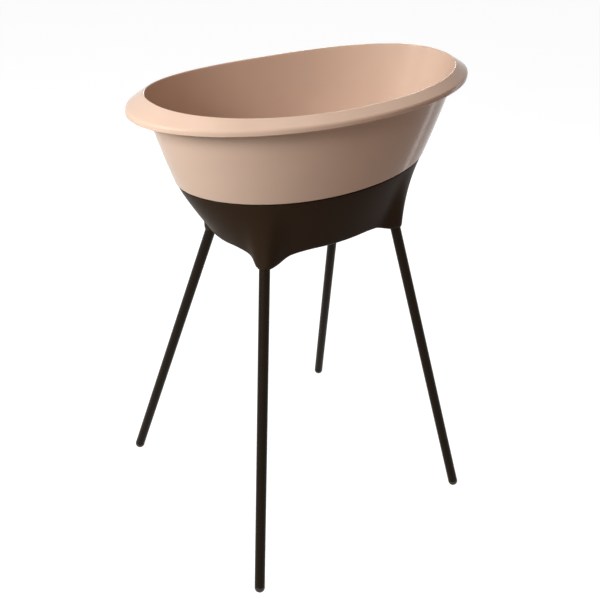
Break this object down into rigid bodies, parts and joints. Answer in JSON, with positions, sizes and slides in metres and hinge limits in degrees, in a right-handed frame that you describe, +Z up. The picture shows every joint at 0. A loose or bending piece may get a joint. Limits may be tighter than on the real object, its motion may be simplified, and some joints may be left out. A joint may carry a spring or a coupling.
{
  "type": "baby bath stand",
  "caption": "Oval baby bath with a wide sloping rim that lifts out of a moulded cradle on splayed tube legs, with a plugged drain in its floor.",
  "frame": {"origin": "on the floor, under the middle of the bath", "axes": "+X along the bath towards its drain end, +Z up"},
  "size_m": [0.766, 0.5808, 1.0126],
  "materials": {
    "nude_plastic": "satin",
    "espresso_plastic": "satin",
    "espresso_paint": "satin powder coat",
    "foot_rubber": "matte",
    "soft_rubber": "matte",
    "pale_plastic": "satin",
    "clear_silicone": "soft",
    "zinc_steel": "zinc plated",
    "brass": "machined"
  },
  "bodies": {
    "stand": {"cradle": "espresso_plastic", "seat_pads": "soft_rubber", "leg_front_left": "espresso_paint", "leg_front_right": "espresso_paint", "leg_back_left": "espresso_paint", "leg_back_right": "espresso_paint", "leg_insert_front_left": "espresso_plastic", "leg_insert_front_right": "espresso_plastic", "leg_insert_back_left": "espresso_plastic", "leg_insert_back_right": "espresso_plastic", "foot_cap_front_left": "foot_rubber", "foot_cap_front_right": "foot_rubber", "foot_cap_back_left": "foot_rubber", "foot_cap_back_right": "foot_rubber", "leg_bushes": "brass", "leg_washers": "zinc_steel", "leg_screws": "zinc_steel"},
    "bath": {"bath_tub": "nude_plastic", "drain_body": "pale_plastic", "drain_washer": "soft_rubber", "drain_nut": "pale_plastic"},
    "plug": {"drain_plug": "pale_plastic", "plug_seal": "clear_silicone"}
  },
  "joints": [
    {"name": "bath_lift", "type": "slide", "parent": "stand", "child": "bath", "axis": [0, 0, 1], "range_m": [0, 0.17]},
    {"name": "plug_lift", "type": "slide", "parent": "bath", "child": "plug", "axis": [0, 0, 1], "range_m": [0, 0.04]}
  ]
}
